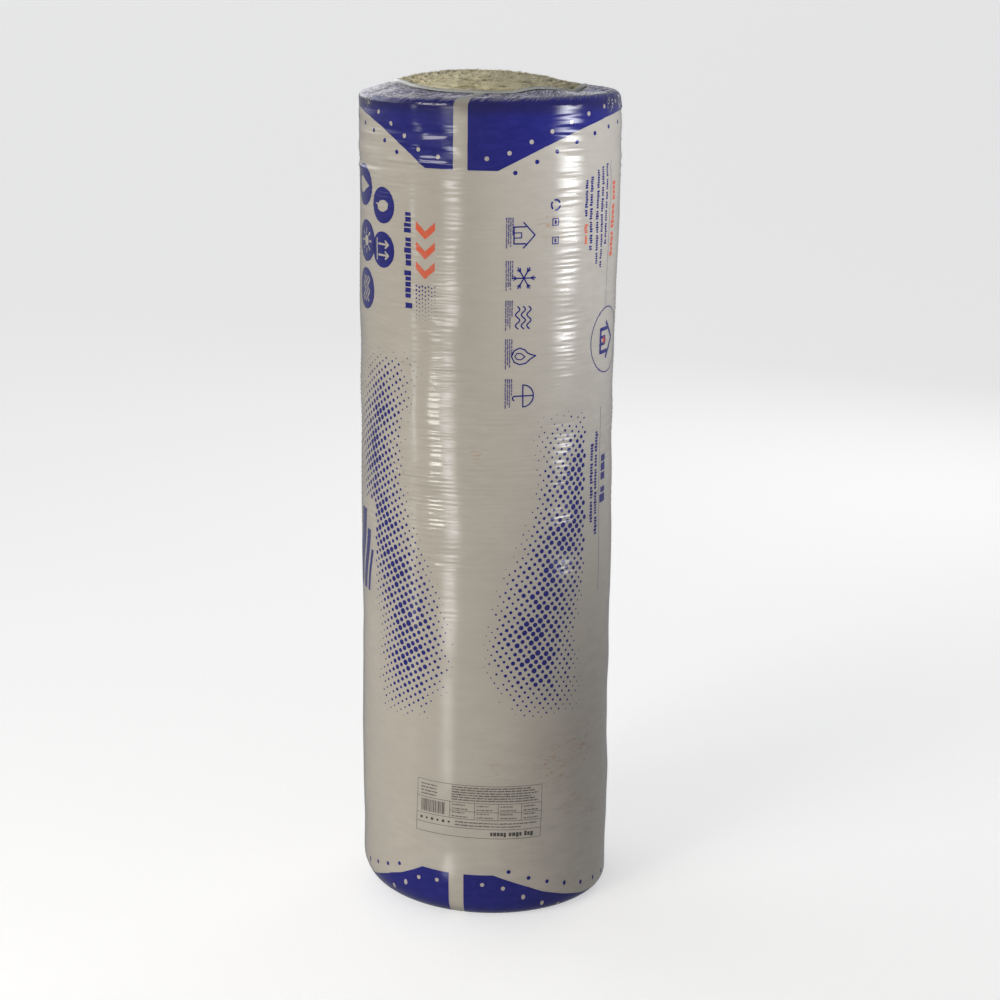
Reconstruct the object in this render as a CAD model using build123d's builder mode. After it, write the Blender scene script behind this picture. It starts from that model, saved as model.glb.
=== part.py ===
from build123d import *
from math import atan, cos, pi, radians, sin, tan
import os

# Glass wool insulation roll, shrink-wrapped and standing on one end.
# One long mat of glass wool is rolled up tight, and a sleeve of printed polyethylene
# film is shrunk round it. The film turns in over both ends and leaves a wavy opening in
# the middle of each, where the edges of the mat's turns show.
# Millimetres, +Z up the roll's axis, origin on the floor under the middle of the roll.

# The mat
mat_width = 1200.0  # the roll's height, from the floor to the crown of its upper end
mat_length = 9000.0  # unrolled
eye_diameter = 12.0  # the bore that is left inside the innermost turn
crown_rise = 13.5  # of the dome that the wool swells into in the upper opening
crown_side = 5.0  # from the film there up to the dome's edge
crease_width = 4.4  # between two turns, where they meet an end
crease_depth = 5.0

# The film
film_diameter = 365.0  # outside
film_thickness = 0.5
film_clearance = 0.3  # between the film and the wool that it holds
top_rim_radius = 13.0
foot_rim_radius = 23.0  # the lower corner is squashed rounder by the roll's weight
flange_rise = 7.5  # from the upper corner to the level film round the opening there
collar_width = 9.0  # of that level film

# The openings that the film leaves
opening_diameter = 266.0
lip_height = 4.0  # the edge of the upper opening, turned up against the swollen wool
edge_clearance = 0.3  # between the edge of an opening and the wool in it
bend_radius = 85.0  # of the bends in an opening's edge
top_waves = ((2, 2.4, 40.0), (3, 2.0, 150.0), (5, 1.6, 15.0))  # count, height, start angle
foot_waves = ((2, 2.0, 110.0), (3, 1.2, 200.0), (5, 2.2, 70.0))

# How finely things are drawn
top_rim_facets = 3  # that the film's upper corner is pleated into, seen in section
foot_rim_facets = 4  # and its lower corner
opening_bends = 11  # that an opening's edge has on its way round
crease_overcut = 1.4  # how far past the wool the V that cuts a crease stands, times its depth

film_radius = film_diameter / 2
opening_radius = opening_diameter / 2
wool_inset = film_thickness + film_clearance
wool_radius = film_radius - wool_inset
eye_radius = eye_diameter / 2
flange_slope = atan(flange_rise / (film_radius - opening_radius - collar_width))
collar_height = mat_width - crown_rise - crown_side
rim_height = collar_height - flange_rise
lip_top = collar_height + lip_height
crown_radius = (opening_radius**2 + crown_rise**2) / (2 * crown_rise)

# The turns fill the roll's section, and that gives the thickness of one of them.
turn_thickness = pi * (wool_radius**2 - eye_radius**2) / mat_length
half_turn_step = turn_thickness / 2


def rim_corner(radius_from_axis, height, radius, start, sweep, facets):
    """Points round a corner of the section, about a centre, from one angle on."""
    angles = [start + sweep * step / facets for step in range(facets + 1)]
    return [(radius_from_axis + radius * cos(angle), height + radius * sin(angle)) for angle in angles]


def wrapped_section(inset):
    """Half the section of the wrapped roll, this far inside the film's outer face."""
    foot_centre = film_radius - foot_rim_radius
    foot = rim_corner(
        foot_centre, foot_rim_radius, foot_rim_radius - inset, -pi / 2, pi / 2, foot_rim_facets
    )
    rim_centre = film_radius - top_rim_radius
    rim_level = rim_height + top_rim_radius * (tan(flange_slope) - 1 / cos(flange_slope))
    rim = rim_corner(
        rim_centre, rim_level, top_rim_radius - inset, 0, pi / 2 - flange_slope, top_rim_facets
    )
    slope_end = film_radius - (flange_rise + inset * (1 / cos(flange_slope) - 1)) / tan(flange_slope)
    level = [(slope_end, collar_height - inset), (0, collar_height - inset)]
    with BuildSketch() as section:
        with BuildLine():
            Polyline((0, inset), *foot, *rim, *level, close=True)
        make_face()
    return section.sketch


def opening_face(waves, inset):
    """The wavy face of an opening, with its edge this far inside the film's cut edge."""
    points = []
    for index in range(opening_bends):
        angle = 2 * pi * index / opening_bends
        radius = opening_radius / cos(pi / opening_bends)
        radius += sum(height * sin(count * angle + radians(start)) for count, height, start in waves)
        points.append((radius * cos(angle), radius * sin(angle)))
    with BuildSketch() as face:
        with BuildLine():
            Polyline(*points, close=True)
        make_face()
        fillet(face.vertices(), bend_radius)
        offset(amount=-inset)
    return face.sketch


def crown_height(radius):
    """Height of the dome at this distance from the axis."""
    return mat_width - crown_radius + (crown_radius**2 - radius**2) ** 0.5


def level_height(radius):
    """Height of the flat lower end, the same at any distance from the axis."""
    return 0


def spiral_crease(reach, end_height, outward):
    """What is cut from an end between the turns: a V that winds out from the eye.

    The spiral is made of half circles. Each has its centre half a step to one side of
    the axis, the sides alternating, and is one step wider than the one before. outward
    is 1 at the upper end and -1 at the lower one.
    """
    first_radius = eye_radius + half_turn_step
    half_turns = int((reach - crease_width - first_radius) / half_turn_step)
    mouth = outward * crease_overcut * crease_depth
    half_mouth = crease_overcut * crease_width / 2
    with BuildPart() as crease:
        for index in range(half_turns):
            side = 1 if index % 2 == 0 else -1
            centre = side * half_turn_step / 2
            radius = first_radius + index * half_turn_step
            bottom = end_height(radius) - outward * crease_depth
            with BuildSketch(Plane((centre, 0, bottom), x_dir=(side, 0, 0), z_dir=(0, -side, 0))):
                with BuildLine():
                    Polyline((radius, 0), (radius - half_mouth, mouth), (radius + half_mouth, mouth), close=True)
                make_face()
            revolve(axis=Axis((centre, 0, 0), (0, 0, 1)), revolution_arc=180)
    return crease.part


def narrowest(waves):
    """The least radius that an opening with these waves can have."""
    return opening_radius - edge_clearance - sum(height for _, height, _ in waves)


# The film: a sleeve with its turned-in ends, hollowed out, then opened at both ends.
with BuildPart() as wrap_film:
    with BuildSketch(Plane.XZ):
        add(wrapped_section(0))
    revolve(axis=Axis.Z)
    with BuildSketch(Plane.XY.offset(collar_height - film_thickness)):
        add(opening_face(top_waves, -film_thickness))
    extrude(amount=lip_height + film_thickness)
    with BuildSketch(Plane.XZ):
        add(wrapped_section(film_thickness))
    revolve(axis=Axis.Z, mode=Mode.SUBTRACT)
    with BuildSketch(Plane.XY.offset(lip_top)):
        add(opening_face(top_waves, 0))
    extrude(amount=-lip_height - 2 * film_thickness, mode=Mode.SUBTRACT)
    with BuildSketch(Plane.XY):
        add(opening_face(foot_waves, 0))
    extrude(amount=2 * film_thickness, mode=Mode.SUBTRACT)

wrap_film.part.label = "wrap_film"

# The mat: the core of the roll, the wool that swells out of the film's upper opening and
# stands on the floor in the lower one, the eye, and the creases between the turns.
with BuildPart() as wool_roll:
    with BuildSketch(Plane.XY.offset(collar_height - wool_inset)):
        add(opening_face(top_waves, edge_clearance))
    extrude(amount=mat_width - collar_height + wool_inset)
    with BuildSketch(Plane.XZ):
        above = mat_width + crown_rise
        with BuildLine():
            RadiusArc((0, mat_width), (film_radius, crown_height(film_radius)), crown_radius)
            Polyline((film_radius, crown_height(film_radius)), (film_radius, above), (0, above), (0, mat_width))
        make_face()
    revolve(axis=Axis.Z, mode=Mode.SUBTRACT)
    with BuildSketch(Plane.XZ):
        add(wrapped_section(wool_inset))
    revolve(axis=Axis.Z)
    with BuildSketch(Plane.XY):
        add(opening_face(foot_waves, edge_clearance))
    extrude(amount=wool_inset)
    with BuildSketch(Plane.XY):
        Circle(eye_radius)
    extrude(amount=mat_width, mode=Mode.SUBTRACT)
    add(spiral_crease(narrowest(top_waves), crown_height, 1), mode=Mode.SUBTRACT)
    add(spiral_crease(narrowest(foot_waves), level_height, -1), mode=Mode.SUBTRACT)

wool_roll.part.label = "wool_roll"

os.makedirs("parts", exist_ok=True)
export_step(wrap_film.part, "parts/wrap_film.step")
export_step(wool_roll.part, "parts/wool_roll.step")
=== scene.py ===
import math
from math import cos, pi, radians, sin

import bpy
import numpy as np
from mathutils import Matrix, Vector
from mathutils.geometry import delaunay_2d_cdt


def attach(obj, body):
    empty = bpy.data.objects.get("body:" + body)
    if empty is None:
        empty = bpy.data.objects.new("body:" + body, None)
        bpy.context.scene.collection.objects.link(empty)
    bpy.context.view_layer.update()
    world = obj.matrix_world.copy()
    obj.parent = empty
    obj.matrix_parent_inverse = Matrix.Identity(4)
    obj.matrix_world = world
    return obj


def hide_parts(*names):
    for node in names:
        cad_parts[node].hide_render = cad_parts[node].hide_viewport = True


# Glass wool insulation roll standing on end in its printed shrink film.
# The roll's lengths are millimetres until a mesh is made, the staging's are metres. An angle
# is measured round the roll from the side that faces the camera (-Y), positive towards +X.
# The film's surface is laid out flat for the print: u is the angle times the film's radius,
# v runs up the film.

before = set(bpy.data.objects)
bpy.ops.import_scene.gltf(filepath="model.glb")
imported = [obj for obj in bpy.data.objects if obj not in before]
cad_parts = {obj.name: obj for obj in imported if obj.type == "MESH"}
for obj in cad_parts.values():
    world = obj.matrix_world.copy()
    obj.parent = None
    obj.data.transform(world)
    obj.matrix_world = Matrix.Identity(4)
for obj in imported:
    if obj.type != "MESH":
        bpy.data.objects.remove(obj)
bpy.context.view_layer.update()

MM = 0.001
FILM_RADIUS = 182.5
DEGREE = FILM_RADIUS * pi / 180  # of angle, in u
ROUND = FILM_RADIUS * 2 * pi

# v along the film's section, and what begins there
MOUTH, FLOOR_EDGE, FOOT_TOP, RIM, FLANGE, LIP, LIP_TOP = -26.0, 0.0, 45.0, 1163.2, 1181.2, 1217.2, 1221.2
RIM_CORNER = 13.0
RIM_SWEEP = radians(79.5)
SWIRL = radians(6.3)  # by which the turned-in film is twisted round the roll at its edge

TOP_COLUMNS = 512  # of the film's mesh round the turned-in end
SIDE_COLUMNS = 128  # and round the rest
STEP = TOP_COLUMNS // SIDE_COLUMNS


# Camera

def add_camera():
    """The photograph's view: from a little above the roll's upper end, tilted down."""
    pitch, yaw, roll = 0.25336, 0.00603, 0.00825
    forward = Vector((sin(yaw) * cos(pitch), cos(yaw) * cos(pitch), -sin(pitch)))
    level = Vector((cos(yaw), -sin(yaw), 0))
    upward = level.cross(forward)
    right = cos(roll) * level + sin(roll) * upward
    up = cos(roll) * upward - sin(roll) * level
    data = bpy.data.cameras.new("camera")
    data.sensor_width = 36
    data.lens = 80.884
    data.clip_end = 200
    camera = bpy.data.objects.new("camera", data)
    bpy.context.scene.collection.objects.link(camera)
    camera.matrix_world = Matrix((
        (right.x, up.x, -forward.x, 0),
        (right.y, up.y, -forward.y, -3.18418),
        (right.z, up.z, -forward.z, 1.40465),
        (0, 0, 0, 1),
    ))
    bpy.context.scene.camera = camera


add_camera()


# Relief fields

def combed_noise(seed, size, step, pitch, spread, length):
    """Random relief of unit height with its ridges pitch apart across the rows.

    size and step are the rows and columns and their spacing. length is how long a ridge
    runs along its row; spread is how much the pitch varies, as a share of it.
    """
    white = np.random.default_rng(seed).standard_normal(size)
    across = np.abs(np.fft.fftfreq(size[0], step[0]))[:, None]
    along = np.fft.rfftfreq(size[1], step[1])[None, :]
    if pitch:
        band = np.exp(-((across * pitch - 1) / spread) ** 2)
    else:
        band = np.exp(-((across * spread) ** 2))
    band = band * np.exp(-((along * length) ** 2))
    field = np.fft.irfft2(np.fft.rfft2(white) * band, s=size)
    return field / field.std()


def sampled(field, row, column):
    """A field's values between its grid points; its columns close round the roll."""
    rows, columns = field.shape
    row = np.clip(row, 0, rows - 1.001)
    i = row.astype(int)
    j = np.floor(column).astype(int)
    p, q = row - i, column - j
    j0, j1 = j % columns, (j + 1) % columns
    low = field[i, j0] * (1 - q) + field[i, j1] * q
    high = field[i + 1, j0] * (1 - q) + field[i + 1, j1] * q
    return low * (1 - p) + high * p


def rise(x, start, end):
    """0 before start, 1 after end, smooth between them."""
    t = np.clip((x - start) / (end - start), 0, 1)
    return t * t * (3 - 2 * t)


def round_the_roll(angle, stations):
    """A value that passes smoothly through (degrees, value) stations round the roll."""
    marks = sorted((a % 360, value) for a, value in stations)
    marks = [(marks[-1][0] - 360, marks[-1][1])] + marks + [(marks[0][0] + 360, marks[0][1])]
    at = np.degrees(angle) % 360
    fine = np.arange(0, 360, 1.0)
    values = np.interp(fine, [m[0] for m in marks], [m[1] for m in marks])
    window = np.hanning(15)
    wide = np.concatenate([values[-7:], values, values[:7]])
    smooth = np.convolve(wide, window / window.sum(), mode="valid")
    return np.interp(at, np.append(fine, 360), np.append(smooth, smooth[0]))


FIELD_STEP = (1.5, ROUND / TOP_COLUMNS)
FIELD_ROWS = 840
RIPPLES = combed_noise(11, (FIELD_ROWS, TOP_COLUMNS), FIELD_STEP, 6.4, 0.30, 70)
BROAD_RIPPLES = combed_noise(12, (FIELD_ROWS, TOP_COLUMNS), FIELD_STEP, 13.0, 0.35, 110)
DENTS = combed_noise(13, (FIELD_ROWS, TOP_COLUMNS), FIELD_STEP, 0, 95, 120)
PATCHES = combed_noise(14, (FIELD_ROWS, TOP_COLUMNS), FIELD_STEP, 0, 60, 130)
PLEATS = combed_noise(15, (TOP_COLUMNS, FIELD_ROWS), FIELD_STEP[::-1], 8.0, 0.45, 42).T
CRINKLES = combed_noise(16, (TOP_COLUMNS, FIELD_ROWS), FIELD_STEP[::-1], 5.0, 0.6, 9).T


def field_at(field, angle, v):
    return sampled(field, (v - MOUTH) / FIELD_STEP[0], angle / (2 * pi) * TOP_COLUMNS)


# The film's section

CREASE_HEIGHTS = (  # of the crease from which the upper opening's lip stands up
    (-90, 1184.0), (-74, 1186.6), (-63, 1186.7), (-55, 1184.5), (-48, 1182.2), (-42, 1181.0), (-35, 1179.3),
    (-30, 1178.6), (-14, 1178.4), (6, 1178.5), (16, 1179.0), (21, 1181.2), (26, 1183.0), (32, 1183.0),
    (42, 1181.0), (50, 1177.7), (55, 1175.8), (61, 1176.2), (70, 1179.2), (76, 1181.8), (84, 1180.0),
    (100, 1176.8), (120, 1177.2), (145, 1176.6), (170, 1176.0), (195, 1177.5), (220, 1180.0), (245, 1180.5),
    (258, 1182.3),
)
LIP_RISE, LIP_REACH = 3.0, 3.6  # of the lip, from the crease to the film's edge
TOP_WAVES = ((2, 2.4, 40.0), (3, 2.0, 150.0), (5, 1.6, 15.0))
FOOT_WAVES = ((2, 2.0, 110.0), (3, 1.2, 200.0), (5, 2.2, 70.0))


OPENING_RADIUS, OPENING_BENDS = 134, 11


def opening_radius(angle, waves):
    """An opening's radius, with its blunt corners and its own row of waves."""
    turned = angle - pi / 2
    radius = OPENING_RADIUS + np.cos(OPENING_BENDS * turned)
    for count, height, start in waves:
        radius = radius + height * np.sin(count * turned + radians(start))
    return radius


def foot_corner(angle):
    """The lower corner's radius: slack on the left of the picture, tight on the right."""
    return 26 - 14 * np.sin(angle)


def lip_crease(angle):
    """Radius and height of the crease round the upper opening."""
    radius = opening_radius(angle, TOP_WAVES)
    return radius + 2.0, round_the_roll(angle, CREASE_HEIGHTS) + 0.26 * (radius - 133) * np.cos(angle)


def lip_edge(angle):
    """Radius and height of the upper opening's edge."""
    radius, height = lip_crease(angle)
    return radius - LIP_REACH, height + LIP_RISE


def section(angle, v):
    """Radius, height and outward direction of the film's smooth outer face."""
    angle, v = np.broadcast_arrays(angle, v)
    corner = foot_corner(angle)
    straight = FOOT_TOP - corner
    down = (straight + corner * pi / 2) * (1 - v / FOOT_TOP)
    bend = np.clip((down - straight) / corner, 0, pi / 2)
    foot_r = FILM_RADIUS - corner * (1 - np.cos(bend))
    foot_z = np.where(down < straight, FOOT_TOP - down, corner * (1 - np.sin(bend)))
    inward = np.clip(v / MOUTH, 0, 1)
    flat_r = (FILM_RADIUS - corner) * (1 - inward) + opening_radius(angle, FOOT_WAVES) * inward

    rim_end = 1172.7 + 1.5 * np.cos(angle) + 1.3 * np.sin(angle)
    turn = np.clip((v - RIM) / (FLANGE - RIM), 0, 1) * RIM_SWEEP
    rim_r = FILM_RADIUS - RIM_CORNER * (1 - np.cos(turn))
    rim_z = RIM + (rim_end - RIM) * np.sin(turn) / sin(RIM_SWEEP)

    base_r, base_z = lip_crease(angle)
    across = np.clip((v - FLANGE) / (LIP - FLANGE), 0, 1)
    start_r = FILM_RADIUS - RIM_CORNER * (1 - cos(RIM_SWEEP))
    flange_r = start_r + (base_r - start_r) * across
    flange_z = rim_end + (base_z - rim_end) * across
    flange_tilt = np.arctan2(start_r - base_r, base_z - rim_end)
    up = np.clip((v - LIP) / (LIP_TOP - LIP), 0, 1)

    on_foot, on_floor = (v < FOOT_TOP) & (v >= 0), v < 0
    on_rim, on_flange, on_lip = (v > RIM) & (v <= FLANGE), (v > FLANGE) & (v <= LIP), v > LIP
    places = [on_floor, on_foot, on_rim, on_flange, on_lip]
    r = np.select(places, [flat_r, foot_r, rim_r, flange_r, base_r - LIP_REACH * up], FILM_RADIUS)
    z = np.select(places, [0 * v, foot_z, rim_z, flange_z, base_z + LIP_RISE * up], v)
    tilt = np.select(places, [-pi / 2 + 0 * v, -bend, turn, flange_tilt, radians(50) + 0 * v], 0)
    return r, z, np.cos(tilt), np.sin(tilt)


SWELLS = (  # angle, height, reach in degrees, reach in mm, size
    (86, 1040, 45, 120, 4.3),
    (86, 720, 40, 240, -1.6),
    (86, 120, 40, 90, 1.5),
)


def slow_swell(angle, v):
    """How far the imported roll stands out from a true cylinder."""
    total = 0.55 * field_at(DENTS, angle, v)
    for centre, height, reach, tall, size in SWELLS:
        away = (np.degrees(angle) - centre + 180) % 360 - 180
        total = total + size * np.exp(-((away / reach) ** 2) - ((v - height) / tall) ** 2)
    return total * rise(v, 10, 60) * (1 - 0.7 * rise(v, 1150, FLANGE))


def round_points(radius, angle, height):
    """Points at a distance from the axis, an angle round it and a height."""
    return np.stack([radius * np.sin(angle), -radius * np.cos(angle), height + 0 * angle], axis=-1)


def surface(angle, v, inset=0.0, relief=True):
    """Points on the film, this far inside its outer face, with or without fine relief."""
    angle = angle + SWIRL * rise(v, RIM, LIP)
    r, z, across, along = section(angle, v)
    out = -inset
    if relief:
        tight = 0.25 + 0.75 * rise(field_at(PATCHES, angle, v), -0.9, 0.8)
        side = 0.015 + 0.135 * rise(v, 390, 640) * tight
        side = side * (1 - 0.5 * rise(v, 1080, 1165)) * rise(v, 20, 60) * (1 - rise(v, 1160, FLANGE))
        out = out + side * field_at(RIPPLES, angle, v)
        broad = field_at(BROAD_RIPPLES, angle, v)
        folds = rise(v, 1040, 1085) * (1 - rise(v, 1150, 1166))
        slack = field_at(BROAD_RIPPLES, angle, MOUTH + 0.45 * (v - MOUTH))
        out = out + 0.6 * side * broad + folds * (0.55 * np.maximum(broad - 1.1, 0) + 0.32 * slack)
        puckered = rise(v, 1160, 1180) * (1 - 0.8 * rise(v, 1206, LIP))
        pleats = field_at(PLEATS, angle - 0.8 * (v - RIM) / FILM_RADIUS, v)
        crinkles = field_at(CRINKLES, angle - 1.6 * (v - RIM) / FILM_RADIUS, v)
        out = out + puckered * (0.85 * (0.8 - np.abs(pleats)) + 0.36 * crinkles)
        out = out - 1.5 * np.exp(-(((v - LIP + 3) / 2.2) ** 2))
    lean = slow_swell(angle, v)
    r = r + lean + across * out
    return round_points(r, angle, np.maximum(z + along * out, np.where(v < FOOT_TOP, inset, 0)))


# The mesh of the film

def ring_faces(low, high):
    """Triangles between two closed rings of points, one of which may be STEP times finer."""
    faces = []
    if len(low) == len(high):
        count = len(low)
        for j in range(count):
            k = (j + 1) % count
            faces += [(low[j], low[k], high[k]), (low[j], high[k], high[j])]
        return faces
    finer_above = len(high) > len(low)
    coarse, fine = (low, high) if finer_above else (high, low)
    ratio = len(fine) // len(coarse)
    half = ratio // 2
    for j in range(len(coarse)):
        k = (j + 1) % len(coarse)
        part = [fine[(j * ratio + m) % len(fine)] for m in range(ratio + 1)]
        fan = [(coarse[j], part[m + 1], part[m]) for m in range(half)]
        fan.append((coarse[j], coarse[k], part[half]))
        fan += [(coarse[k], part[m + 1], part[m]) for m in range(half, ratio)]
        faces += fan if finer_above else [(a, c, b) for a, b, c in fan]
    return faces


def new_piece(name, points, faces, uvs=None):
    """An object from points in metres; uvs has the flat layout's place of each face's corners."""
    mesh = bpy.data.meshes.new(name)
    mesh.from_pydata(np.asarray(points).tolist(), [], faces)
    if uvs is not None:
        mesh.shade_smooth()
        mesh.uv_layers.new(name="OFBake").data.foreach_set("uv", uvs.astype(np.float32).ravel())
    piece = bpy.data.objects.new(name, mesh)
    bpy.context.scene.collection.objects.link(piece)
    return piece


def closed_mesh(name, rings, uvs):
    """A mesh of rings of points, each joined to the next, and the last to the first."""
    starts = np.cumsum([0] + [len(ring) for ring in rings])
    ids = [list(range(starts[n], starts[n + 1])) for n in range(len(rings))]
    faces = []
    for n in range(len(rings)):
        faces += ring_faces(ids[n], ids[(n + 1) % len(rings)])
    flat = np.concatenate(uvs)[np.array(faces)]
    wrapped = (flat[:, :, 0].max(axis=1) - flat[:, :, 0].min(axis=1)) > 0.5
    flat[:, :, 0] += wrapped[:, None] & (flat[:, :, 0] < 0.5)
    return new_piece(name, np.concatenate(rings) * MM, faces, flat)


def angles_of(columns):
    return np.arange(columns) / columns * 2 * pi - pi


UV_HEIGHT = LIP_TOP + 4 - MOUTH  # of the film's section in the flat layout
UV_SHARE = 0.94  # of the layout that the film's outer face takes up


def print_uv(angle, v):
    """Where a point of the film lies in the flat layout that all the print shares."""
    return np.stack([(angle + pi) / (2 * pi), (v - MOUTH) / UV_HEIGHT * UV_SHARE], axis=-1)


def ring_uv(angles, level):
    """A row of the flat layout, for a ring that is mostly out of sight."""
    return np.stack([(angles + pi) / (2 * pi), np.full(len(angles), level)], axis=-1)


ROWS_FOOT = np.concatenate([np.linspace(MOUTH, FLOOR_EDGE, 6), np.linspace(FLOOR_EDGE, FOOT_TOP, 13)[1:]])
ROWS_SIDE = np.concatenate([np.linspace(FOOT_TOP, 420, 106)[1:], np.linspace(420, RIM, 392)[1:]])
ROWS_TOP = np.concatenate([
    np.linspace(RIM, FLANGE, 11)[1:], np.linspace(FLANGE, LIP, 21)[1:], np.linspace(LIP, LIP_TOP, 4)[1:],
])
ROWS_LOW = np.concatenate([ROWS_FOOT, ROWS_SIDE])
ROWS = np.concatenate([ROWS_LOW, ROWS_TOP])

low_grid = surface(angles_of(SIDE_COLUMNS)[None, :], ROWS_LOW[:, None])
top_grid = surface(angles_of(TOP_COLUMNS)[None, :], ROWS_TOP[:, None])


LINING_TOP = 3.2  # how deep the film's inner face lies under the pleats of the upper end


def lining(v):
    """How deep the film's inner face lies on the side, below the deepest of the relief."""
    return 1.0 + 1.4 * float(rise(v, 980, 1040))


def film_piece():
    """The outer face from the lower opening up to the upper one, and the inner face back down."""
    rings = list(low_grid) + list(top_grid)
    fine, coarse = angles_of(TOP_COLUMNS), angles_of(SIDE_COLUMNS)
    uvs = [print_uv(coarse, np.full(SIDE_COLUMNS, v)) for v in ROWS_LOW]
    uvs += [print_uv(fine, np.full(TOP_COLUMNS, v)) for v in ROWS_TOP]
    inner = [(LIP_TOP, 0.9, fine), (LIP + 1, 1.0, fine)]
    inner += [(v, LINING_TOP, fine) for v in np.linspace(LIP - 1, FLANGE, 6)]
    inner += [(v, LINING_TOP, coarse) for v in np.linspace(FLANGE - 5, RIM, 4)]
    inner += [(v, lining(v), coarse) for v in np.linspace(RIM - 35, FOOT_TOP, 30)]
    inner += [(v, 1.0, coarse) for v in (*np.linspace(FOOT_TOP - 5, 2, 9), *np.linspace(-1, MOUTH, 5))]
    for n, (v, inset, angles) in enumerate(inner):
        rings.append(surface(angles, np.full(len(angles), v), inset, False))
        uvs.append(ring_uv(angles, 0.95 + 0.05 * n / len(inner)))
    return closed_mesh("shrink_wrap", rings, uvs)


film = film_piece()


# The print lies on the film's triangles, a hair above them

def grid_normals(grid):
    across = np.roll(grid, -1, axis=1) - np.roll(grid, 1, axis=1)
    up = np.gradient(grid, axis=0)
    normal = np.cross(across, up)
    return normal / np.linalg.norm(normal, axis=-1, keepdims=True)


INK_LIFT = 0.16
low_normals, top_normals = grid_normals(low_grid), grid_normals(top_grid)


def widened(grid):
    """A side grid's rows with the points that lie on its edges at the top's columns."""
    parts = [grid + (np.roll(grid, -1, axis=1) - grid) * m / STEP for m in range(STEP)]
    return np.stack(parts, axis=2).reshape(grid.shape[0], -1, 3)


PRINT_GRID = np.concatenate([widened(low_grid), top_grid])
PRINT_NORMALS = np.concatenate([widened(low_normals), top_normals])


def film_points(spots):
    """Points and normals on the film's triangles for rows of (u, v, column, row, step)."""
    u, v, column, row, step = spots.T
    column, row, step = column.astype(int), row.astype(int), step.astype(int)
    c = (u / ROUND + 0.5) * TOP_COLUMNS
    fc = np.clip((c - column) / step, 0, 1)[:, None]
    fr = np.clip((v - ROWS[row]) / (ROWS[row + 1] - ROWS[row]), 0, 1)[:, None]
    here, there = column % TOP_COLUMNS, (column + step) % TOP_COLUMNS
    result = []
    for grid in (PRINT_GRID, PRINT_NORMALS):
        p00, p01 = grid[row, here], grid[row, there]
        p10, p11 = grid[row + 1, here], grid[row + 1, there]
        below = p00 + fc * (p01 - p00) + fr * (p11 - p01)
        above = p00 + fr * (p10 - p00) + fc * (p11 - p10)
        result.append(np.where(fr <= fc, below, above))
    points, normals = result
    normals = normals / np.linalg.norm(normals, axis=1, keepdims=True)
    return points + INK_LIFT * normals, normals


def split(shape, value):
    """The two parts of a convex shape, where value is below and above zero."""
    values = [value(p) for p in shape]
    if max(values) <= 1e-9:
        return shape, None
    if min(values) >= -1e-9:
        return None, shape
    below, above = [], []
    for n, p in enumerate(shape):
        q = shape[(n + 1) % len(shape)]
        a, b = values[n], values[(n + 1) % len(shape)]
        if a <= 0:
            below.append(p)
        if a >= 0:
            above.append(p)
        if a * b < 0:
            t = a / (a - b)
            cut = (p[0] + t * (q[0] - p[0]), p[1] + t * (q[1] - p[1]))
            below.append(cut)
            above.append(cut)
    return (below if len(below) > 2 else None), (above if len(above) > 2 else None)


def slabs(shape, axis, levels):
    """The parts of a convex shape between rising levels of u (axis 0) or v (axis 1)."""
    lowest, highest = min(p[axis] for p in shape), max(p[axis] for p in shape)
    first = int(np.searchsorted(levels, lowest + 1e-7, side="right")) - 1
    last = int(np.searchsorted(levels, highest - 1e-7, side="left"))
    parts, rest = [], shape
    for n in range(first + 1, last):
        level = levels[n]
        part, rest = split(rest, lambda p: p[axis] - level)
        if part:
            parts.append((n - 1, part))
        if not rest:
            return parts
    parts.append((last - 1, rest))
    return parts


COLUMN_U = (np.arange(-TOP_COLUMNS, 2 * TOP_COLUMNS + 1) / TOP_COLUMNS - 0.5) * ROUND


class Print:
    """All the shapes of one colour of ink."""

    def __init__(self, name, ink):
        self.name, self.ink, self.cells = name, ink, []

    def add(self, shape):
        """Adds one convex shape, a list of (u, v), cut along the film's triangles."""
        for row, slab in slabs(shape, 1, ROWS):
            if row < 0 or row >= len(ROWS) - 1:
                continue
            step = STEP if row < len(ROWS_LOW) - 1 else 1
            for n, cell in slabs(slab, 0, COLUMN_U[::step]):
                column = n * step - TOP_COLUMNS
                left, width = COLUMN_U[n * step], ROUND / TOP_COLUMNS * step
                low, tall = ROWS[row], ROWS[row + 1] - ROWS[row]
                for part in split(cell, lambda p: (p[1] - low) / tall - (p[0] - left) / width):
                    if part:
                        self.cells.append((column, row, step, part))

    def build(self):
        spots, faces, index = [], [], {}
        for column, row, step, part in self.cells:
            face = []
            for u, v in part:
                key = (round(u, 2), round(v, 2))
                if key not in index:
                    index[key] = len(spots)
                    spots.append((u, v, column, row, step))
                if index[key] not in face:
                    face.append(index[key])
            if len(face) > 2:
                faces.append(face)
        spots = np.array(spots)
        points, normals = film_points(spots)
        uvs = print_uv(spots[:, 0] / FILM_RADIUS, spots[:, 1])
        piece = new_piece(self.name, points * MM, faces, uvs[np.concatenate(faces)])
        piece.data.normals_split_custom_set_from_vertices(normals.tolist())
        return piece


blue = Print("print_blue", "ink_blue")
dots = Print("print_dots", "ink_blue")
orange = Print("print_orange", "ink_orange")
dark = Print("print_dark", "ink_dark")


def inside(loop, points):
    """Which of the points lie inside a closed loop."""
    x, y = points[:, 0], points[:, 1]
    result = np.zeros(len(points), dtype=bool)
    for n, (ax, ay) in enumerate(loop):
        bx, by = loop[(n + 1) % len(loop)]
        if ay == by:
            continue
        crosses = (ay > y) != (by > y)
        result ^= crosses & (x < ax + (y - ay) * (bx - ax) / (by - ay))
    return result


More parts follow.
